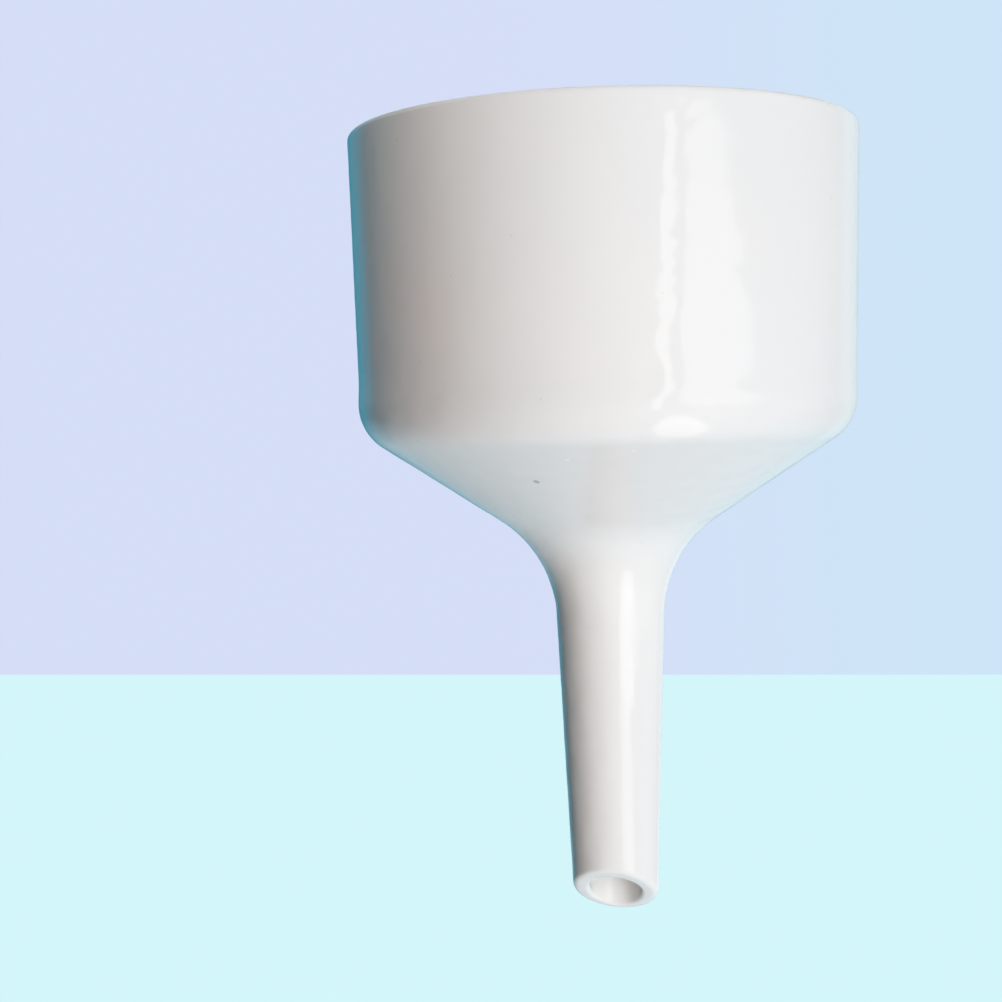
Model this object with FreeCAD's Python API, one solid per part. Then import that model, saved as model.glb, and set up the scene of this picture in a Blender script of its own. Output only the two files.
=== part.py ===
import FreeCAD, Part

import math
import os

# A porcelain Buchner funnel for 90 mm filter paper, in millimetres.
# Z runs up along the funnel's axis. The origin is on that axis, level with the lowest point of the
# tip, and the tip's slanted mouth faces -Y.
# Three castings are luted together before firing: the bowl's wall stands on the lower casting and
# over the edge of the perforated plate, which lies in a rebate of the lower casting. The paper is
# loose and lifts out of the bowl.

# Heights
TOTAL_HEIGHT = 156.2
SEAM_HEIGHT = 107.1

# Bowl wall
RIM_RADIUS = 50.0
SEAM_OUTER_RADIUS = 48.92
SEAM_INNER_RADIUS = 45.7
RIM_THICKNESS = 3.2
RIM_OUTER_ROUNDING = 1.1
RIM_INNER_ROUNDING = 0.9
COVE_RADIUS = 0.5
COVE_LIP = 0.12

# Filter plate, and the rebate and ledge that it lies in
PLATE_RADIUS = 46.2
PLATE_THICKNESS = 4.5
LEDGE_WIDTH = 3.0
HOLE_RADIUS = 1.0
HOLE_RINGS = 6
HOLES_PER_RING_STEP = 6
RING_PITCH = 6.5
HOLE_TOP_ROUNDING = 0.4
HOLE_BOTTOM_ROUNDING = 0.3

# Cone and stem
CASTING_THICKNESS = 3.4
CONE_ANGLE = 33.0
CONE_FOOT_RADIUS = 11.2
CONE_FOOT_HEIGHT = 73.5
SHOULDER_LEAN = 3.0
SHOULDER_ROUNDING = 10.2
THROAT_OUTER_ROUNDING = 24.0
LEDGE_ROUNDING = 1.5
STEM_HALF_ANGLE = 2.25

# Slanted tip
TIP_AXIS_HEIGHT = 4.654
TIP_SLANT = 36.7
TIP_OUTER_ROUNDING = 1.6
TIP_INNER_ROUNDING = 1.0

# Filter paper
PAPER_RADIUS = 45.0
PAPER_THICKNESS = 0.2
PAPER_CLEARANCE = 0.02

# Sizes that only have to reach past the material: hole cutters, the tip's cutting block, and the
# stem before its tip is cut
OVERCUT = 1.0
CUTTER_SIZE = 60.0
STEM_OVERLENGTH = 5.0

CLOSE = 1e-6
AXIS_BASE = FreeCAD.Vector(0, 0, 0)
AXIS_UP = FreeCAD.Vector(0, 0, 1)


def at(radius, height):
    """A point of the section plane, which holds the axis."""
    return FreeCAD.Vector(radius, 0, height)


def heading(degrees):
    """A direction in the section plane, counted from outward towards up."""
    return at(math.cos(math.radians(degrees)), math.sin(math.radians(degrees)))


def crossing(first, first_heading, second, second_heading):
    """The point where two lines of the section plane cross."""
    u = heading(first_heading)
    v = heading(second_heading)
    gap = second - first
    along = (gap.x * v.z - gap.z * v.x) / (u.x * v.z - u.z * v.x)
    return first + u * along


def rounded_corner(before, corner, after, radius):
    """Where a corner's arc starts, its middle point, and where it ends."""
    back = (before - corner).normalize()
    ahead = (after - corner).normalize()
    half = back.getAngle(ahead) / 2
    reach = radius / math.tan(half)
    middle = (back + ahead).normalize() * (radius / math.sin(half) - radius)
    return corner + back * reach, corner + middle, corner + ahead * reach


def turned(corners):
    """A solid of revolution from the corners of its half section, each a point and a rounding."""
    edges = []
    ends = []
    for i, (corner, radius) in enumerate(corners):
        before = corners[i - 1][0]
        after = corners[(i + 1) % len(corners)][0]
        if radius:
            start, middle, end = rounded_corner(before, corner, after, radius)
            edges.append(Part.Arc(start, middle, end).toShape())
        else:
            start = end = corner
        ends.append((start, end))
    for i, (start, _) in enumerate(ends):
        previous_end = ends[i - 1][1]
        if previous_end.distanceToPoint(start) > CLOSE:
            edges.append(Part.LineSegment(previous_end, start).toShape())
    outline = Part.Wire(Part.__sortEdges__(edges))
    return Part.Face(outline).revolve(AXIS_BASE, AXIS_UP, 360)


def bowl_wall():
    """The drafted wall, from its rounded rim down to its foot on the plate and the lower casting."""
    lip = SEAM_HEIGHT + COVE_LIP
    lip_radius = SEAM_INNER_RADIUS - COVE_RADIUS - CLOSE
    return turned([
        (at(SEAM_OUTER_RADIUS, SEAM_HEIGHT), 0),
        (at(RIM_RADIUS, TOTAL_HEIGHT), RIM_OUTER_ROUNDING),
        (at(RIM_RADIUS - RIM_THICKNESS, TOTAL_HEIGHT), RIM_INNER_ROUNDING),
        (at(SEAM_INNER_RADIUS, lip), COVE_RADIUS),
        (at(lip_radius, lip), 0),
        (at(lip_radius, SEAM_HEIGHT), 0),
    ])


def hole_cutter():
    """One drain hole with both mouths rounded, on the axis."""
    top = SEAM_HEIGHT
    bottom = SEAM_HEIGHT - PLATE_THICKNESS
    top_mouth = HOLE_RADIUS + HOLE_TOP_ROUNDING
    bottom_mouth = HOLE_RADIUS + HOLE_BOTTOM_ROUNDING
    return turned([
        (at(0, bottom - OVERCUT), 0),
        (at(bottom_mouth, bottom - OVERCUT), 0),
        (at(bottom_mouth, bottom), 0),
        (at(HOLE_RADIUS, bottom), HOLE_BOTTOM_ROUNDING),
        (at(HOLE_RADIUS, top), HOLE_TOP_ROUNDING),
        (at(top_mouth, top), 0),
        (at(top_mouth, top + OVERCUT), 0),
        (at(0, top + OVERCUT), 0),
    ])


def hole_places():
    """The axis, then rings of evenly spaced places around it."""
    places = [FreeCAD.Vector(0, 0, 0)]
    for ring in range(1, HOLE_RINGS + 1):
        count = HOLES_PER_RING_STEP * ring
        for i in range(count):
            angle = 2 * math.pi * i / count
            places.append(FreeCAD.Vector(math.cos(angle), math.sin(angle), 0) * RING_PITCH * ring)
    return places


def filter_plate():
    """The flat disc that carries the paper, drilled through with its drain holes."""
    base = FreeCAD.Vector(0, 0, SEAM_HEIGHT - PLATE_THICKNESS)
    disc = Part.makeCylinder(PLATE_RADIUS, PLATE_THICKNESS, base)
    cutter = hole_cutter()
    cutters = [cutter.translated(place) for place in hole_places()]
    return disc.cut(cutters)


def tip_cutter():
    """A block whose top face is the plane of the slanted mouth."""
    corner = FreeCAD.Vector(-CUTTER_SIZE / 2, -CUTTER_SIZE / 2, -CUTTER_SIZE)
    block = Part.makeBox(CUTTER_SIZE, CUTTER_SIZE, CUTTER_SIZE, corner)
    block.rotate(AXIS_BASE, FreeCAD.Vector(1, 0, 0), -TIP_SLANT)
    block.translate(FreeCAD.Vector(0, 0, TIP_AXIS_HEIGHT))
    return block


def mouth_edges(casting):
    """The outer and the inner edge of the slanted mouth."""
    tilt = math.radians(TIP_SLANT)
    outward = FreeCAD.Vector(0, -math.sin(tilt), -math.cos(tilt))
    for face in casting.Faces:
        if face.Surface.TypeId != "Part::GeomPlane":
            continue
        if face.normalAt(0, 0).getAngle(outward) < CLOSE:
            return sorted(face.Edges, key=lambda edge: -edge.Length)
    raise RuntimeError("the slanted mouth's face wasn't found")


def cone_and_stem():
    """The lower casting: rebate for the plate, rounded shoulder, cone, throat, stem and slanted tip."""
    seam = at(SEAM_OUTER_RADIUS, SEAM_HEIGHT)
    cone_foot = at(CONE_FOOT_RADIUS, CONE_FOOT_HEIGHT)
    blank_end = at(0, -STEM_OVERLENGTH)

    # Below the seam the outside leans slightly outward, down to the shoulder's rounding.
    shoulder = crossing(seam, SHOULDER_LEAN - 90, cone_foot, CONE_ANGLE)

    # The inside runs parallel to the outside.
    inner_cone = cone_foot + heading(90 + CONE_ANGLE) * CASTING_THICKNESS
    inner_stem = cone_foot + heading(180 - STEM_HALF_ANGLE) * CASTING_THICKNESS
    stem_heading = -90 - STEM_HALF_ANGLE
    throat = crossing(inner_cone, CONE_ANGLE, inner_stem, stem_heading)
    throat_inner_rounding = THROAT_OUTER_ROUNDING + CASTING_THICKNESS
    ledge_height = SEAM_HEIGHT - PLATE_THICKNESS
    ledge_radius = PLATE_RADIUS - LEDGE_WIDTH

    casting = turned([
        (seam, 0),
        (shoulder, SHOULDER_ROUNDING),
        (cone_foot, THROAT_OUTER_ROUNDING),
        (crossing(cone_foot, stem_heading, blank_end, 0), 0),
        (crossing(inner_stem, stem_heading, blank_end, 0), 0),
        (throat, throat_inner_rounding),
        (crossing(inner_cone, CONE_ANGLE, at(ledge_radius, 0), 90), LEDGE_ROUNDING),
        (at(ledge_radius, ledge_height), 0),
        (at(PLATE_RADIUS, ledge_height), 0),
        (at(PLATE_RADIUS, SEAM_HEIGHT), 0),
    ])
    casting = casting.cut(tip_cutter())
    casting = casting.makeFillet(TIP_OUTER_ROUNDING, mouth_edges(casting)[:1])
    return casting.makeFillet(TIP_INNER_ROUNDING, mouth_edges(casting)[1:])


def filter_paper():
    """A 90 mm disc lying on the plate."""
    base = FreeCAD.Vector(0, 0, SEAM_HEIGHT + PAPER_CLEARANCE)
    return Part.makeCylinder(PAPER_RADIUS, PAPER_THICKNESS, base)


NODES = {
    "bowl_wall": bowl_wall,
    "filter_plate": filter_plate,
    "cone_and_stem": cone_and_stem,
    "filter_paper": filter_paper,
}

os.makedirs("parts", exist_ok=True)
for name, make in NODES.items():
    make().exportStep(f"parts/{name}.step")
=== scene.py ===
"""The looks of a glazed porcelain Buchner funnel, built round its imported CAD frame, in metres.

The bowl's wall, the lower casting, the plate and the paper are built here from the same driving
dimensions as the design, with the ripple that a dipped glaze has. Heights come from the frame.
"""
import math

import bpy
import numpy as np
from mathutils import Matrix, Vector, noise
from mathutils.geometry import delaunay_2d_cdt

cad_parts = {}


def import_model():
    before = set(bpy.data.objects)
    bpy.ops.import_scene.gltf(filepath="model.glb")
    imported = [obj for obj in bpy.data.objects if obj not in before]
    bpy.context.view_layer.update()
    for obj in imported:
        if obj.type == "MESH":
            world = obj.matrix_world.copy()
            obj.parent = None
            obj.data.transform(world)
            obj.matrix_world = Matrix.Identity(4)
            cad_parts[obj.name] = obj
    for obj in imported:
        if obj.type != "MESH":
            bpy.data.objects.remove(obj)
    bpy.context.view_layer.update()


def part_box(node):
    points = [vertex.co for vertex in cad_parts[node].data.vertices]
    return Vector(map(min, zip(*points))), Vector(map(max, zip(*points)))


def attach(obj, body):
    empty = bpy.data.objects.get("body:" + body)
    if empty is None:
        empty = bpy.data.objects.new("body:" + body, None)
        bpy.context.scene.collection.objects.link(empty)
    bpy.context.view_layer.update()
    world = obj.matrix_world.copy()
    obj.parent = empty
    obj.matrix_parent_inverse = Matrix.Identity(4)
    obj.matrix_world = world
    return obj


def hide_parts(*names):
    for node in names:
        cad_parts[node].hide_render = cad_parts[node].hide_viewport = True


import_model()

MM = 0.001

# Places that the frame gives
RIM_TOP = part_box("bowl_wall")[1].z
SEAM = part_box("bowl_wall")[0].z
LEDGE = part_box("filter_plate")[0].z
PLATE_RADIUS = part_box("filter_plate")[1].x
PAPER_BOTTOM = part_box("filter_paper")[0].z
PAPER_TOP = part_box("filter_paper")[1].z
PAPER_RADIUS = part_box("filter_paper")[1].x

# The design's driving dimensions
RIM_RADIUS = 50.0 * MM
SEAM_OUTER_RADIUS = 48.92 * MM
SEAM_INNER_RADIUS = 45.7 * MM
RIM_THICKNESS = 3.2 * MM
RIM_OUTER_ROUNDING = 1.1 * MM
RIM_INNER_ROUNDING = 0.9 * MM
COVE_RADIUS = 0.5 * MM
COVE_LIP = 0.12 * MM
LEDGE_WIDTH = 3.0 * MM
LEDGE_ROUNDING = 1.5 * MM
CASTING_THICKNESS = 3.4 * MM
CONE_ANGLE = 33.0
CONE_FOOT_RADIUS = 11.2 * MM
CONE_FOOT_HEIGHT = 73.5 * MM
SHOULDER_LEAN = 3.0
SHOULDER_ROUNDING = 10.2 * MM
THROAT_OUTER_ROUNDING = 24.0 * MM
STEM_HALF_ANGLE = 2.25
TIP_AXIS_HEIGHT = 4.654 * MM
TIP_SLANT = 36.7
TIP_OUTER_ROUNDING = 1.6 * MM
TIP_INNER_ROUNDING = 1.0 * MM
HOLE_RINGS = 6
HOLES_PER_RING_STEP = 6
RING_PITCH = 6.5 * MM
HOLE_RADIUS = 1.0 * MM
HOLE_TOP_ROUNDING = 0.4 * MM
HOLE_BOTTOM_ROUNDING = 0.3 * MM

# Meshing. Steps round arcs and sharp edges are in degrees.
SEGMENTS = 320
STEP = 0.85 * MM
ARC_STEP = 12.0
SHARP_EDGE = 35.0
CLOSE = 0.01 * MM
STEP_SLACK = 0.01
PLATE_SEGMENTS = 240
PLATE_INFILL = 1.6 * MM
HOLE_SEGMENTS = 24
HOLE_TOP_STEPS = 5
HOLE_BOTTOM_STEPS = 4
INSIDE_HOLE = 0.98
MERGE_DISTANCE = 1e-7
PAPER_RINGS = 70
PAPER_SPOKES = 300

# Glaze: its ripple, the pool that fills the kink at the seam, and the wall's thinning to the rim
RIPPLE = 0.04 * MM
RIPPLE_SIZE = 7.0 * MM
RIPPLE_OVERTONE = 0.4
OVERTONE_RATIO = 2.1
PEEL = 0.05 * MM
PEEL_WIDTH = 3.4 * MM
PEEL_HEIGHT = 2.0 * MM
SWELL = 0.10 * MM
SWELL_SIZE = 30.0 * MM
POOL_WIDTH = 3.0 * MM
RIM_EASE = 0.15 * MM
RIM_EASE_WIDTH = 2.2 * MM
FIT_FADE = 3.0 * MM
OUTSIDE_MARGIN = 0.3 * MM
PLATE_WAVE = 0.03 * MM
PLATE_CALM_EDGE = 3.0 * MM

# Glaze: colour clouds, a painted warm shade on the wall's shaded left side, and the surface. Noise scales
# are per metre.
GLAZE_NEUTRAL = (0.859, 0.857, 0.848, 1)
GLAZE_COOL = (0.840, 0.849, 0.845, 1)
PAINTED_WARM_SHADE = (0.905, 0.820, 0.800, 1)
CLOUD_SCALE = 22.0
CLOUD_EDGES = (0.35, 0.7)
PAINTED_WARM_SHADE_PLACE = Vector((-34, -36, 117)) * MM
PAINTED_WARM_SHADE_REACH = 34 * MM
PAINTED_WARM_SHADE_MOTTLE_SCALE = 90.0
GLAZE_IOR = 1.52
GLOSS_SCALE = 60.0
GLOSS_LEAST = 0.008
GLOSS_SPREAD = 0.02
FINE_PEEL = 0.035 * MM
FINE_PEEL_SCALE = 240.0
PEEL_STRETCH = (1, 1, 2)

# The rim's top, where the body is bare: depths below the rim, colour and surface
BARE_FROM = 0.30 * MM
BARE_FULLY = 0.05 * MM
BARE_BODY = (0.76, 0.77, 0.77, 1)
BARE_ROUGHNESS = 0.7
GRAIN_DEPTH = 0.05 * MM
GRAIN_STRENGTH = 0.8
GRAIN_SCALE = 3500.0

# Pepper all over, and the specks on the cone: angle from -Y towards +X, height, radius, colour
SPECK_DARK = (0.34, 0.38, 0.42, 1)
SPECK_LIGHT = (0.95, 0.93, 0.90, 1)
PEPPER_SCALE = 130.0
PEPPER_EDGE = (0.03, 0.015)
PEPPER_STRENGTH = 0.25
SPECK_STRENGTH = 0.7
SPECK_EDGE_SCALE = 1800.0
SPECK_EDGE_LEAST = 0.6
SPECK_EDGE_SPREAD = 0.8
SPECKS = [
    (-13, 88.7 * MM, 0.55 * MM, SPECK_DARK),
    (15, 94.1 * MM, 0.35 * MM, SPECK_LIGHT),
    (-1, 92.7 * MM, 0.50 * MM, SPECK_LIGHT),
    (-37, 96.5 * MM, 0.45 * MM, SPECK_LIGHT),
]

# Paper: its dimples over the drain holes, its waves, its frayed edge and its fibres
DIMPLE_DEPTH = 0.072 * MM
DIMPLE_RADIUS = 1.1 * MM
PAPER_WAVE = 0.10 * MM
PAPER_WAVE_SIZE = 14 * MM
PAPER_FLAT_SHARE = 0.3
PAPER_CURL_SHARE = 0.1
FRAY_DEPTH = 0.08 * MM
FRAY_STEP = 0.6
PAPER_DARK = (0.845, 0.838, 0.812, 1)
PAPER_LIGHT = (0.862, 0.857, 0.835, 1)
PAPER_CLOUD_SCALE = 260.0
PAPER_CLOUD_EDGES = (0.3, 0.7)
PAPER_ROUGHNESS = 0.9
PAPER_SPECULAR = 0.2
FIBRE_SCALE = 2600.0
FIBRE_DEPTH = 0.05 * MM
FIBRE_STRENGTH = 0.5

# Camera
CAMERA_DISTANCE = 7.0 * RIM_RADIUS
CAMERA_AZIMUTH = 9.0
CAMERA_HEIGHT = RIM_TOP - 1.15 * RIM_RADIUS
CAMERA_PITCH = 2.4
CAMERA_YAW = 3.50
CAMERA_ROLL = -1.29
CAMERA_LENS = 63.1
CAMERA_SENSOR = 36.0
BOWL_MIDDLE = Vector((0, 0, (RIM_TOP + SEAM) / 2))

# Stage. Side angles are counted from the camera to the right, at the bowl's middle unless a place is
# given. They come with an elevation. A side of the world then has the cosines at which its glow
# begins and is full, and its colour. A light has its colour.
BLACK = (0, 0, 0, 1)
WHITE = (1, 1, 1, 1)
WALL_LEFT = (0.67, 0.73, 0.93, 1)
WALL_RIGHT = (0.62, 0.78, 0.93, 1)
FLOOR_SEEN = (0.655, 0.922, 0.956, 1)
WALL_BLEND = (0.0, 0.25)
FLOOR_LEVEL = -55 * MM
FLOOR_REACH = 734 * MM
WORLD_SIDES = [
    (-125, 0, 0.7, 0.98, (0.0, 0.32, 0.48, 1)),
    (-160, 5, 0.84, 0.98, (0.06, 0.28, 0.38, 1)),
    (130, 0, 0.4, 0.95, (0.18, 0.26, 0.28, 1)),
    (155, 5, 0.84, 0.98, (0.34, 0.46, 0.51, 1)),
    (180, -60, 0.5, 0.9, (0.60, 0.88, 1.02, 1)),
]
SOFT_LIGHT_DISTANCE = 900 * MM
SOFT_LIGHT_SIZE = 650 * MM
SOFT_LIGHTS = {
    "front": (0, 10, (1.78, 1.36, 1.05)),
    "key": (25, 10, (2.07, 2.36, 2.68)),
    "low": (30, -45, (4.45, 4.50, 4.55)),
    "top": (0, 85, (3.8, 3.9, 4.0)),
    "right": (130, 10, (5.25, 5.10, 5.10)),
    "back": (-170, 15, (1.5, 1.5, 1.5)),
}

# Sheets that only the glaze mirrors: radiance, the place they are seen from, their distance from it
# and their corners. The shoulder mirrors both cards at one spot, the stem one below the other.
SHOULDER_GLINT = Vector((20.66, -38.85, 100.5)) * MM
PANES = {
    "pane_narrow": (1.6, BOWL_MIDDLE, 600 * MM, [
        (25.6, 9.3), (27.6, 10.1), (34, 10.3), (31.3, 9), (29.3, 3), (27.6, 0), (26, -2.5), (24, -11),
        (24.5, -30), (19.5, -30), (18, -10), (21.3, -2.5), (22.4, 0), (24.2, 3),
    ]),
    "pane_wide": (1.1, BOWL_MIDDLE, 600 * MM, [
        (35.8, 9.3), (38.5, 10.2), (43, 10.4), (48, 10.2), (53, 9.5), (51.5, 8.5), (59, 3), (62.4, 0),
        (68, -3), (70, -8), (68, -16), (56, -19), (38, -18), (31, -10), (31.6, 0), (33, 3),
    ]),
    "card_near": (1.9, SHOULDER_GLINT, 70 * MM, [
        (24, -65), (21, -48), (32, -39), (52, -45), (80, -58), (108, -70), (68, -82),
    ]),
    "card_far": (1.4, SHOULDER_GLINT, 140 * MM, [
        (28, -70), (24, -48), (30, -36), (48, -40), (60, -52), (72, -64), (60, -72),
    ]),
}


# ---------------------------------------------------------------- lathe

def heading(degrees):
    """A direction in the section plane, counted from outward towards up."""
    return Vector((math.cos(math.radians(degrees)), math.sin(math.radians(degrees))))


def crossing(first, first_heading, second, second_heading):
    """The point where two lines of the section plane cross."""
    u = heading(first_heading)
    v = heading(second_heading)
    gap = second - first
    return first + u * ((gap.x * v.y - gap.y * v.x) / (u.x * v.y - u.y * v.x))


def arc_run(before, corner, after, radius, count):
    """Points along the arc that rounds a corner."""
    back = (before - corner).normalized()
    ahead = (after - corner).normalized()
    half = back.angle(ahead) / 2
    centre = corner + (back + ahead).normalized() * (radius / math.sin(half))
    start = corner + back * (radius / math.tan(half)) - centre
    turn = math.pi - 2 * half
    if back.x * ahead.y - back.y * ahead.x > 0:
        turn = -turn
    return [centre + Matrix.Rotation(turn * i / count, 2) @ start for i in range(count + 1)]


def runs_of(corners, arc_counts):
    """Each corner of a closed half section as the points of its arc, or as itself if it is sharp."""
    runs = []
    for i, (corner, radius) in enumerate(corners):
        before = corners[i - 1][0]
        after = corners[(i + 1) % len(corners)][0]
        runs.append(arc_run(before, corner, after, radius, arc_counts[i]) if radius else [corner])
    return runs


def plan(corners):
    """How many steps the arcs and the straight legs of a half section are given."""
    arc_counts = []
    for i, (corner, radius) in enumerate(corners):
        before = corners[i - 1][0]
        after = corners[(i + 1) % len(corners)][0]
        turn = math.pi - (before - corner).angle(after - corner)
        arc_counts.append(math.ceil(max(math.degrees(turn) / ARC_STEP, turn * radius / STEP)))
    runs = runs_of(corners, arc_counts)
    leg_counts = []
    for i, run in enumerate(runs):
        gap = (runs[(i + 1) % len(runs)][0] - run[-1]).length
        leg_counts.append(math.ceil(gap / STEP - STEP_SLACK))
    return arc_counts, leg_counts


def section(corners, counts):
    """The points of a closed half section."""
    arc_counts, leg_counts = counts
    runs = runs_of(corners, arc_counts)
    points = []
    for i, run in enumerate(runs):
        following = runs[(i + 1) % len(runs)][0]
        points += run if leg_counts[i] else run[:-1]
        points += [run[-1].lerp(following, k / leg_counts[i]) for k in range(1, leg_counts[i])]
    return points


def new_object(name, vertices, faces):
    """A smooth-shaded mesh object in the scene."""
    mesh = bpy.data.meshes.new(name)
    mesh.from_pydata(vertices, [], faces)
    mesh.validate()
    mesh.shade_smooth()
    mesh.set_sharp_from_angle(angle=math.radians(SHARP_EDGE))
    made = bpy.data.objects.new(name, mesh)
    bpy.context.scene.collection.objects.link(made)
    return made


def lathe(name, corners_at):
    """A closed solid of revolution whose half section may change with the angle round the axis."""
    counts = plan(corners_at(0.0))
    vertices = []
    for i in range(SEGMENTS):
        angle = 2 * math.pi * i / SEGMENTS
        for point in section(corners_at(angle), counts):
            vertices.append((point.x * math.cos(angle), point.x * math.sin(angle), point.y))
    row = len(vertices) // SEGMENTS
    faces = []
    for i in range(SEGMENTS):
        here = i * row
        ahead = (i + 1) % SEGMENTS * row
        for j in range(row):
            up = (j + 1) % row
            faces.append((here + j, ahead + j, ahead + up, here + up))
    return new_object(name, vertices, faces)


def wall_corners(_angle):
    """The bowl wall's half section, from its outer foot up over the rim and down the inside."""
    lip = SEAM + COVE_LIP
    lip_radius = SEAM_INNER_RADIUS - COVE_RADIUS - CLOSE
    return [
        (Vector((SEAM_OUTER_RADIUS, SEAM)), 0),
        (Vector((RIM_RADIUS, RIM_TOP)), RIM_OUTER_ROUNDING),
        (Vector((RIM_RADIUS - RIM_THICKNESS, RIM_TOP)), RIM_INNER_ROUNDING),
        (Vector((SEAM_INNER_RADIUS, lip)), COVE_RADIUS),
        (Vector((lip_radius, lip)), 0),
        (Vector((lip_radius, SEAM)), 0),
    ]


def casting_corners(angle):
    """The lower casting's half section at an angle, from the seam in over the ledge and back outside."""
    seam = Vector((SEAM_OUTER_RADIUS, SEAM))
    cone_foot = Vector((CONE_FOOT_RADIUS, CONE_FOOT_HEIGHT))
    shoulder = crossing(seam, SHOULDER_LEAN - 90, cone_foot, CONE_ANGLE)

    inner_cone = cone_foot + heading(90 + CONE_ANGLE) * CASTING_THICKNESS
    inner_stem = cone_foot + heading(180 - STEM_HALF_ANGLE) * CASTING_THICKNESS
    stem_heading = -90 - STEM_HALF_ANGLE
    throat = crossing(inner_cone, CONE_ANGLE, inner_stem, stem_heading)
    ledge_radius = PLATE_RADIUS - LEDGE_WIDTH

    # The slanted plane cuts the half section along a line whose slope changes round the axis.
    mouth = Vector((0, TIP_AXIS_HEIGHT))
    mouth_slope = math.tan(math.radians(TIP_SLANT)) * math.sin(angle)
    mouth_heading = -math.degrees(math.atan(mouth_slope))
    return [
        (seam, 0),
        (Vector((PLATE_RADIUS, SEAM)), 0),
        (Vector((PLATE_RADIUS, LEDGE)), 0),
        (Vector((ledge_radius, LEDGE)), 0),
        (crossing(inner_cone, CONE_ANGLE, Vector((ledge_radius, 0)), 90), LEDGE_ROUNDING),
        (throat, THROAT_OUTER_ROUNDING + CASTING_THICKNESS),
        (crossing(inner_stem, stem_heading, mouth, mouth_heading), TIP_INNER_ROUNDING),
        (crossing(cone_foot, stem_heading, mouth, mouth_heading), TIP_OUTER_ROUNDING),
        (cone_foot, THROAT_OUTER_ROUNDING),
        (shoulder, SHOULDER_ROUNDING),
    ]


# ---------------------------------------------------------------- glaze

def fade(distance, width):
    """0 at no distance, rising smoothly to 1 at width."""
    t = min(max(distance / width, 0.0), 1.0)
    return t * t * (3 - 2 * t)


def bulge(distance, width):
    """1 at no distance, falling to 0 at width, straight at first and without a kink at the end."""
    return max(1 - distance / width, 0.0) ** 2


def ripple(place):
    """How far the glaze stands off its even thickness."""
    scaled = place / RIPPLE_SIZE
    waves = noise.noise(scaled) + RIPPLE_OVERTONE * noise.noise(scaled * OVERTONE_RATIO)
    turning_lines = Vector((place.x / PEEL_WIDTH, place.y / PEEL_WIDTH, place.z / PEEL_HEIGHT))
    return RIPPLE * waves + PEEL * noise.noise(turning_lines) + SWELL * noise.noise(place / SWELL_SIZE)


def kink():
    """The angle by which the casting's outside turns away from the wall's at the seam."""
    draft = math.atan((RIM_RADIUS - SEAM_OUTER_RADIUS) / (RIM_TOP - SEAM))
    return draft + math.radians(SHOULDER_LEAN)


def glaze(piece):
    """Moves a lathed piece's surface to where its glaze lies, except where another piece fits it."""
    mesh = piece.data
    pool = kink() * POOL_WIDTH / 4  # deep enough to take up the kink, half of it on each side
    normals = [Vector(normal.vector) for normal in mesh.vertex_normals]
    for vertex, normal in zip(mesh.vertices, normals):
        place = vertex.co.copy()
        radius = math.hypot(place.x, place.y)
        outside = radius > PLATE_RADIUS + OUTSIDE_MARGIN
        if abs(place.z - SEAM) < CLOSE and outside:
            normal = Vector((place.x, place.y, 0)) / radius
        calm = fade(RIM_TOP - place.z, RIM_EASE_WIDTH)
        if not outside:
            calm *= fade(abs(place.z - (SEAM + LEDGE) / 2) - (SEAM - LEDGE) / 2, FIT_FADE)
        move = calm * ripple(place)
        if outside:
            move += pool * bulge(abs(place.z - SEAM), POOL_WIDTH)
        sideways = math.hypot(normal.x, normal.y)
        move -= sideways * RIM_EASE * bulge(RIM_TOP - place.z, RIM_EASE_WIDTH)
        vertex.co = place + normal * move
    mesh.update()


def install(piece, body, node, material):
    """Puts a finished piece on its body, in place of its CAD node."""
    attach(piece, body)
    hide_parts(node)
    piece.data.materials.append(material)


def bowl_wall():
    piece = lathe("bowl_wall_glazed", wall_corners)
    glaze(piece)
    install(piece, "funnel", "bowl_wall", porcelain("wall_porcelain"))


def cone_and_stem():
    piece = lathe("cone_and_stem_glazed", casting_corners)
    glaze(piece)
    install(piece, "funnel", "cone_and_stem", porcelain("stem_porcelain"))


# ---------------------------------------------------------------- materials

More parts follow.
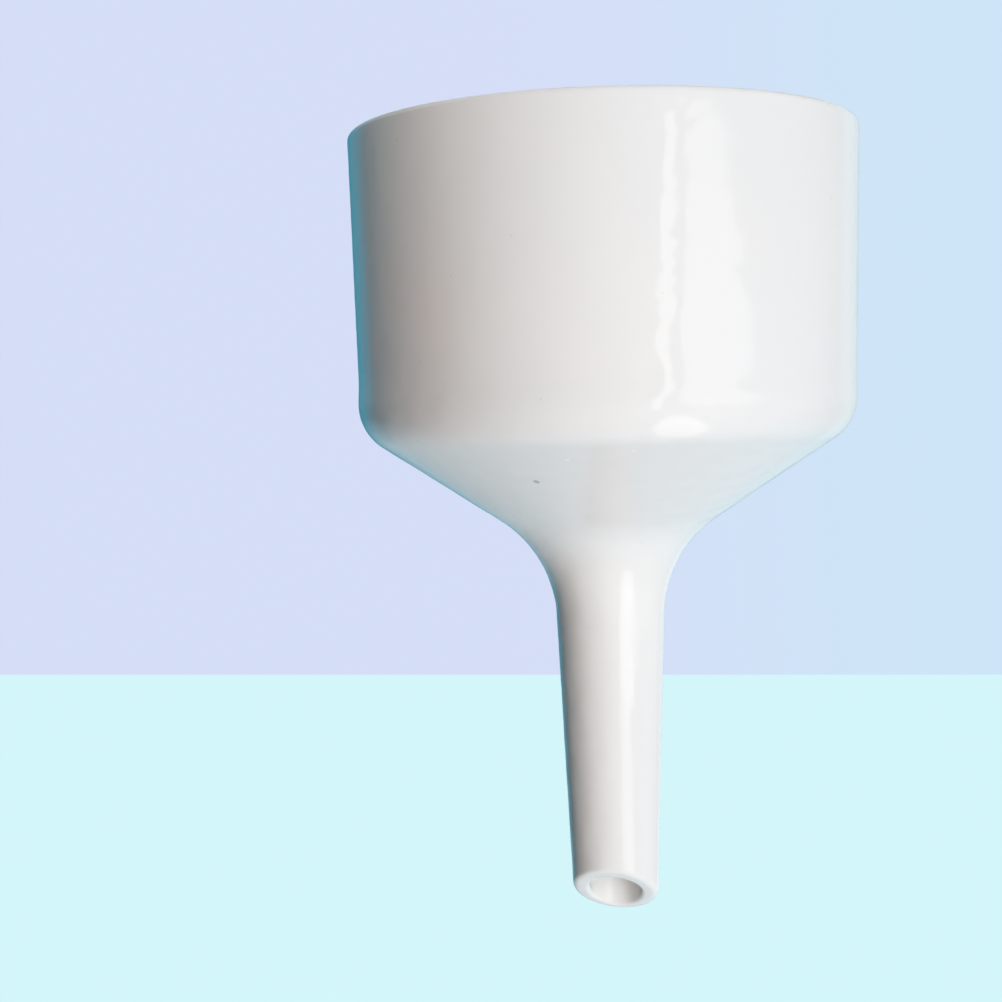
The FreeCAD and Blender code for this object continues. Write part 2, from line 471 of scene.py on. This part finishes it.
class Nodes:
    """The node tree of a new material or of the world, with short calls to add and join nodes."""

    def __init__(self, name=None, tree=None, shader="Principled BSDF"):
        if name:
            self.material = bpy.data.materials.new(name)
            self.material.use_nodes = True
            tree = self.material.node_tree
        self.tree = tree
        self.shader = tree.nodes[shader]

    def add(self, kind, inputs=None, **settings):
        node = self.tree.nodes.new(kind)
        for key, value in settings.items():
            setattr(node, key, value)
        for key, value in (inputs or {}).items():
            if isinstance(value, bpy.types.NodeSocket):
                self.tree.links.new(value, node.inputs[key])
            else:
                node.inputs[key].default_value = value
        return node

    def feed(self, key, value):
        """Sets or links an input of the shader."""
        if isinstance(value, bpy.types.NodeSocket):
            self.tree.links.new(value, self.shader.inputs[key])
        else:
            self.shader.inputs[key].default_value = value

    def glow(self, colour, strength):
        """Makes a plain glowing surface of the material."""
        self.feed("Base Color", BLACK)
        self.feed("Specular IOR Level", 0.0)
        self.feed("Emission Color", colour)
        self.feed("Emission Strength", strength)

    def math(self, operation, first, second=0.0, third=0.5):
        inputs = {0: first, 1: second, 2: third}
        return self.add("ShaderNodeMath", inputs, operation=operation).outputs[0]

    def gap(self, first, second):
        """The distance between two places."""
        inputs = {0: first, 1: second}
        return self.add("ShaderNodeVectorMath", inputs, operation="DISTANCE").outputs["Value"]

    def bump(self, height, distance, strength=1.0, over=None):
        """A normal bent by a height, on top of another bump if one is given."""
        inputs = {"Strength": strength, "Distance": distance, "Height": height}
        if over:
            inputs["Normal"] = over
        return self.add("ShaderNodeBump", inputs).outputs[0]

    def step(self, value, low, high):
        """0 below low, rising smoothly to 1 above high."""
        inputs = {"Value": value, "From Min": low, "From Max": high}
        return self.add("ShaderNodeMapRange", inputs, interpolation_type="SMOOTHSTEP").outputs[0]

    def mix(self, factor, first, second, blend="MIX"):
        inputs = {"Factor": factor, 6: first, 7: second}
        return self.add("ShaderNodeMix", inputs, data_type="RGBA", blend_type=blend).outputs[2]

    def noise(self, vector, scale, detail=2.0):
        inputs = {"Vector": vector, "Scale": scale, "Detail": detail}
        return self.add("ShaderNodeTexNoise", inputs).outputs["Fac"]


def on_cone(angle, height):
    """A place on the cone's outside, its angle counted from -Y towards +X."""
    radius = CONE_FOOT_RADIUS + (height - CONE_FOOT_HEIGHT) / math.tan(math.radians(CONE_ANGLE))
    a = math.radians(angle)
    return Vector((radius * math.sin(a), -radius * math.cos(a), height))


def porcelain(name):
    """White glaze over a white body: cloudy, with a painted warm shade on the wall's shaded left side,
    specked, bare on the rim's top.
    """
    m = Nodes(name)
    place = m.add("ShaderNodeTexCoord").outputs["Object"]
    height = m.add("ShaderNodeSeparateXYZ", {0: place}).outputs[2]

    cloudy = m.step(m.noise(place, CLOUD_SCALE, detail=3.0), *CLOUD_EDGES)
    tone = m.mix(cloudy, GLAZE_NEUTRAL, GLAZE_COOL)
    # Painted warm shade: a mottled warm tint painted round a place on the wall's shaded left side,
    # standing in for warm light in the shade there.
    warm_shade_mask = m.step(m.gap(place, PAINTED_WARM_SHADE_PLACE), PAINTED_WARM_SHADE_REACH, 0.0)
    tone = m.mix(m.math("MULTIPLY", warm_shade_mask, m.noise(place, PAINTED_WARM_SHADE_MOTTLE_SCALE)), tone, PAINTED_WARM_SHADE)

    pepper = m.add("ShaderNodeTexVoronoi", {"Vector": place, "Scale": PEPPER_SCALE}).outputs["Distance"]
    dots = m.step(pepper, *PEPPER_EDGE)
    tone = m.mix(m.math("MULTIPLY", dots, PEPPER_STRENGTH), tone, SPECK_DARK)
    for angle, level, size, colour in SPECKS:
        uneven = m.noise(place, SPECK_EDGE_SCALE)
        edge = m.math("MULTIPLY_ADD", uneven, SPECK_EDGE_SPREAD * size, SPECK_EDGE_LEAST * size)
        spot = m.math("LESS_THAN", m.gap(place, on_cone(angle, level)), edge)
        tone = m.mix(m.math("MULTIPLY", spot, SPECK_STRENGTH), tone, colour)

    bare = m.step(height, RIM_TOP - BARE_FROM, RIM_TOP - BARE_FULLY)
    m.feed("Base Color", m.mix(bare, tone, BARE_BODY))

    gloss = m.math("MULTIPLY_ADD", m.noise(place, GLOSS_SCALE), GLOSS_SPREAD, GLOSS_LEAST)
    roughness = m.add("ShaderNodeMix", {"Factor": bare, 2: gloss, 3: BARE_ROUGHNESS})
    m.feed("Roughness", roughness.outputs[0])
    m.feed("IOR", GLAZE_IOR)

    stretched = m.add("ShaderNodeVectorMath", {0: place, 1: PEEL_STRETCH}, operation="MULTIPLY")
    peel = m.noise(stretched.outputs["Vector"], FINE_PEEL_SCALE, detail=0.0)
    grain = m.noise(place, GRAIN_SCALE, detail=3.0)
    grainy = m.math("MULTIPLY", bare, GRAIN_STRENGTH)
    m.feed("Normal", m.bump(grain, GRAIN_DEPTH, grainy, over=m.bump(peel, FINE_PEEL)))
    return m.material


# ---------------------------------------------------------------- plate

def hole_places():
    """The plate's drain holes in plan."""
    places = [Vector((0, 0))]
    for ring in range(1, HOLE_RINGS + 1):
        count = HOLES_PER_RING_STEP * ring
        for i in range(count):
            angle = 2 * math.pi * i / count
            places.append(Vector((math.cos(angle), math.sin(angle))) * RING_PITCH * ring)
    return places


def circle(count):
    """Unit directions round a circle."""
    angles = [2 * math.pi * i / count for i in range(count)]
    return [Vector((math.cos(angle), math.sin(angle))) for angle in angles]


def hole_rings():
    """A drain hole's half section as radii and heights, from its top mouth down to its bottom mouth."""
    top = HOLE_RADIUS + HOLE_TOP_ROUNDING
    bottom = HOLE_RADIUS + HOLE_BOTTOM_ROUNDING
    corners = [
        (Vector((top + STEP, SEAM)), 0),
        (Vector((HOLE_RADIUS, SEAM)), HOLE_TOP_ROUNDING),
        (Vector((HOLE_RADIUS, LEDGE)), HOLE_BOTTOM_ROUNDING),
        (Vector((bottom + STEP, LEDGE)), 0),
    ]
    upper, lower = runs_of(corners, [0, HOLE_TOP_STEPS, HOLE_BOTTOM_STEPS, 0])[1:3]
    return upper + [upper[-1].lerp(lower[0], 0.5)] + lower


def plate_faces(holes):
    """Points in plan and triangles of the plate's face: its edge, then every hole's mouth, then infill."""
    mouth = HOLE_RADIUS + HOLE_TOP_ROUNDING
    rings = [[spoke * PLATE_RADIUS for spoke in circle(PLATE_SEGMENTS)]]
    rings += [[hole + spoke * mouth for spoke in circle(HOLE_SEGMENTS)] for hole in holes]
    points = []
    edges = []
    for ring in rings:
        first = len(points)
        points += ring
        edges += [(first + i, first + (i + 1) % len(ring)) for i in range(len(ring))]
    gap = PLATE_INFILL
    rows = int(PLATE_RADIUS / gap) + 1
    for row in range(-rows, rows + 1):
        for column in range(-rows, rows + 1):
            spot = Vector(((column + row % 2 / 2) * gap, row * gap * math.sqrt(3) / 2))
            clear = min((spot - hole).length for hole in holes) - mouth
            if spot.length < PLATE_RADIUS - gap / 2 and clear > gap / 3:
                points.append(spot)
    joined, _, corners_of = delaunay_2d_cdt(points, edges, [], 0, MERGE_DISTANCE)[:3]
    triangles = []
    for face in corners_of:
        middle = sum((joined[i] for i in face), Vector((0, 0))) / 3
        if min((middle - hole).length for hole in holes) > mouth * INSIDE_HOLE:
            triangles.append(tuple(face))
    return list(joined), triangles


def plate_top(x, y):
    """The plate's upper surface, where the glaze lies a little thinner in places."""
    calm = fade(PLATE_RADIUS - PLATE_CALM_EDGE - math.hypot(x, y), FIT_FADE)
    return SEAM - calm * PLATE_WAVE * (1 + noise.noise(Vector((x, y, 0)) / RIPPLE_SIZE))


def bore_faces(upper, lower):
    """The band of faces between two rings of a hole, which start at the given vertices."""
    band = []
    for i in range(HOLE_SEGMENTS):
        j = (i + 1) % HOLE_SEGMENTS
        band.append((upper + i, lower + i, lower + j, upper + j))
    return band


def filter_plate():
    """The perforated plate: two faces, the edge between them and a rounded bore at every hole."""
    holes = hole_places()
    plan_points, triangles = plate_faces(holes)
    count = len(plan_points)
    flare = hole_rings()
    shrink = flare[-1].x - flare[0].x

    vertices = [(p.x, p.y, plate_top(p.x, p.y)) for p in plan_points]
    for i, p in enumerate(plan_points):
        number = (i - PLATE_SEGMENTS) // HOLE_SEGMENTS
        if 0 <= number < len(holes):
            p = p + (p - holes[number]).normalized() * shrink
        vertices.append((p.x, p.y, LEDGE))

    faces = list(triangles)
    faces += [tuple(count + i for i in triangle[::-1]) for triangle in triangles]
    for i in range(PLATE_SEGMENTS):
        j = (i + 1) % PLATE_SEGMENTS
        faces.append((i, count + i, count + j, j))

    spokes = circle(HOLE_SEGMENTS)
    for number, hole in enumerate(holes):
        previous = PLATE_SEGMENTS + number * HOLE_SEGMENTS
        bottom = count + previous
        drop = plate_top(hole.x, hole.y) - SEAM
        for ring in flare[1:-1]:
            first = len(vertices)
            sink = drop * fade(ring.y - LEDGE, SEAM - LEDGE)
            vertices += [(*(hole + spoke * ring.x), ring.y + sink) for spoke in spokes]
            faces += bore_faces(previous, first)
            previous = first
        faces += bore_faces(previous, bottom)

    piece = new_object("filter_plate_glazed", vertices, faces)
    install(piece, "funnel", "filter_plate", porcelain("plate_porcelain"))


# ---------------------------------------------------------------- paper

def paper_plan():
    """The paper's vertices in plan: the middle, then rings of them out to the frayed edge."""
    places = [(0.0, 0.0)]
    for ring in range(1, PAPER_RINGS + 1):
        for spoke in range(PAPER_SPOKES):
            angle = 2 * math.pi * spoke / PAPER_SPOKES
            radius = PAPER_RADIUS * ring / PAPER_RINGS
            if ring == PAPER_RINGS:
                radius -= FRAY_DEPTH * (0.5 + noise.noise(Vector((spoke * FRAY_STEP, 0, 0))))
            places.append((radius * math.cos(angle), radius * math.sin(angle)))
    return places


def paper_lift(x, y):
    """How high the sheet stands off the plate: slightly wavy, and more so at its curled edge."""
    wave = PAPER_WAVE * (1 + noise.noise(Vector((x, y, 0)) / PAPER_WAVE_SIZE))
    curl_width = PAPER_CURL_SHARE * PAPER_RADIUS
    curl = fade(math.hypot(x, y) - (PAPER_RADIUS - curl_width), curl_width)
    return wave * (PAPER_FLAT_SHARE + curl)


def sheet_faces(first, flip):
    """One side of the paper, whose middle vertex comes first."""
    faces = []
    for spoke in range(PAPER_SPOKES):
        following = (spoke + 1) % PAPER_SPOKES
        faces.append((first, first + 1 + spoke, first + 1 + following))
        for ring in range(PAPER_RINGS - 1):
            inner = first + 1 + ring * PAPER_SPOKES
            outer = inner + PAPER_SPOKES
            faces.append((inner + spoke, outer + spoke, outer + following, inner + following))
    return [face[::-1] for face in faces] if flip else faces


def filter_paper():
    """The paper disc: a closed sheet, drawn slightly down into the drain holes."""
    plan_places = paper_plan()
    holes = np.array([tuple(hole) for hole in hole_places()])
    gaps = np.linalg.norm(np.array(plan_places)[:, None, :] - holes[None, :, :], axis=2).min(axis=1)
    dimples = DIMPLE_DEPTH * np.exp(-(gaps / DIMPLE_RADIUS) ** 2)
    vertices = []
    for base in (PAPER_TOP, PAPER_BOTTOM):
        for (x, y), dimple in zip(plan_places, dimples):
            vertices.append((x, y, base + paper_lift(x, y) - dimple))

    sheet = len(plan_places)
    faces = sheet_faces(0, False) + sheet_faces(sheet, True)
    rim = sheet - PAPER_SPOKES
    for spoke in range(PAPER_SPOKES):
        following = (spoke + 1) % PAPER_SPOKES
        faces.append((rim + spoke, sheet + rim + spoke, sheet + rim + following, rim + following))
    piece = new_object("filter_paper_sheet", vertices, faces)
    install(piece, "paper", "filter_paper", cellulose())


def cellulose():
    """Matt cellulose with cloudy formation and short fibres."""
    m = Nodes("cellulose")
    place = m.add("ShaderNodeTexCoord").outputs["Object"]
    cloud = m.step(m.noise(place, PAPER_CLOUD_SCALE, detail=4.0), *PAPER_CLOUD_EDGES)
    m.feed("Base Color", m.mix(cloud, PAPER_DARK, PAPER_LIGHT))
    m.feed("Roughness", PAPER_ROUGHNESS)
    m.feed("Specular IOR Level", PAPER_SPECULAR)
    fibres = m.noise(place, FIBRE_SCALE, detail=4.0)
    m.feed("Normal", m.bump(fibres, FIBRE_DEPTH, FIBRE_STRENGTH))
    return m.material


# ---------------------------------------------------------------- stage, lights and camera

def seen_from(viewpoint, side, elevation, distance=1.0):
    """A place seen from another, its side angle counted from the camera to the right."""
    a = math.radians(CAMERA_AZIMUTH + side)
    e = math.radians(elevation)
    flat = distance * math.cos(e)
    return viewpoint + Vector((flat * math.sin(a), -flat * math.cos(a), distance * math.sin(e)))


def floor():
    """A flat pale floor, tipped with the camera so that its far edge is level in the picture."""
    m = Nodes("floor_paint")
    m.glow(FLOOR_SEEN, 1.0)
    underside = m.add("ShaderNodeNewGeometry").outputs["Backfacing"]
    m.feed("Alpha", m.math("SUBTRACT", 1.0, underside))
    turn = Matrix.Rotation(math.radians(CAMERA_AZIMUTH + CAMERA_YAW), 3, "Z")
    tip = Matrix.Rotation(math.radians(-CAMERA_ROLL), 3, "Y")
    corners = [(-1, -1), (1, -1), (1, 1), (-1, 1)]
    level = Vector((0, 0, FLOOR_LEVEL))
    places = [turn @ tip @ (Vector((x, y, 0)) * FLOOR_REACH + level) for x, y in corners]
    sheet = new_object("floor", places, [(0, 1, 2, 3)])
    sheet.data.materials.append(m.material)
    sheet.visible_diffuse = False
    sheet.visible_glossy = False
    sheet.visible_shadow = False


def world():
    """A pale wall to the camera, and the pale and teal room that the glaze mirrors at its edges."""
    studio = bpy.data.worlds.new("studio")
    studio.use_nodes = True
    m = Nodes(tree=studio.node_tree, shader="Background")
    toward = m.add("ShaderNodeTexCoord").outputs["Generated"]
    ray = m.add("ShaderNodeLightPath").outputs

    def facing(direction, low, high):
        dot = m.add("ShaderNodeVectorMath", {0: toward, 1: direction}, operation="DOT_PRODUCT")
        return m.step(dot.outputs["Value"], low, high)

    mirrored = BLACK
    for side, elevation, low, high, colour in WORLD_SIDES:
        middle = (seen_from(BOWL_MIDDLE, side, elevation) - BOWL_MIDDLE).normalized()
        lobe = m.mix(facing(middle, low, high), BLACK, colour)
        mirrored = m.mix(1.0, mirrored, lobe, blend="ADD")
    right = Matrix.Rotation(math.radians(CAMERA_AZIMUTH + CAMERA_YAW), 3, "Z") @ Vector((1, 0, 0))
    seen = m.mix(facing(right, *WALL_BLEND), WALL_LEFT, WALL_RIGHT)
    cast = m.mix(ray["Is Glossy Ray"], BLACK, mirrored)
    m.feed("Color", m.mix(ray["Is Camera Ray"], cast, seen))
    m.feed("Strength", 1.0)
    bpy.context.scene.world = studio


def soft_light(name, side, elevation, colour):
    """A broad square light that shapes the object and doesn't show in the glaze."""
    data = bpy.data.lights.new(name, "AREA")
    data.size = SOFT_LIGHT_SIZE
    data.color = colour
    data.energy = math.pi * SOFT_LIGHT_SIZE ** 2
    lamp = bpy.data.objects.new(name, data)
    bpy.context.scene.collection.objects.link(lamp)
    lamp.location = seen_from(BOWL_MIDDLE, side, elevation, SOFT_LIGHT_DISTANCE)
    lamp.rotation_euler = (BOWL_MIDDLE - lamp.location).to_track_quat("-Z", "Y").to_euler()
    lamp.visible_camera = False
    lamp.visible_glossy = False


def pane(name, radiance, viewpoint, distance, corners):
    """A lit sheet that only the glaze mirrors. Its corners are side angles and elevations."""
    m = Nodes(name)
    m.glow(WHITE, radiance)
    places = [seen_from(viewpoint, side, elevation, distance) for side, elevation in corners]
    sheet = new_object(name, places, [tuple(range(len(places)))])
    sheet.data.materials.append(m.material)
    sheet.visible_camera = False
    sheet.visible_diffuse = False
    sheet.visible_shadow = False


def lights():
    for name, (side, elevation, colour) in SOFT_LIGHTS.items():
        soft_light(name, side, elevation, colour)
    for name, (radiance, viewpoint, distance, corners) in PANES.items():
        pane(name, radiance, viewpoint, distance, corners)


def camera():
    """At the height of the bowl's foot, looking slightly down and past the axis."""
    data = bpy.data.cameras.new("camera")
    data.lens = CAMERA_LENS
    data.sensor_width = CAMERA_SENSOR
    viewer = bpy.data.objects.new("camera", data)
    bpy.context.scene.collection.objects.link(viewer)
    azimuth = math.radians(CAMERA_AZIMUTH)
    viewer.location = (
        CAMERA_DISTANCE * math.sin(azimuth),
        -CAMERA_DISTANCE * math.cos(azimuth),
        CAMERA_HEIGHT,
    )
    turn = Matrix.Rotation(math.radians(CAMERA_AZIMUTH + CAMERA_YAW), 4, "Z")
    tilt = Matrix.Rotation(math.radians(90 - CAMERA_PITCH), 4, "X")
    roll = Matrix.Rotation(math.radians(CAMERA_ROLL), 4, "Z")
    viewer.rotation_euler = (turn @ tilt @ roll).to_euler()
    bpy.context.scene.camera = viewer


bowl_wall()
cone_and_stem()
filter_plate()
filter_paper()
floor()
world()
lights()
camera()
bpy.context.scene.view_settings.view_transform = "Standard"
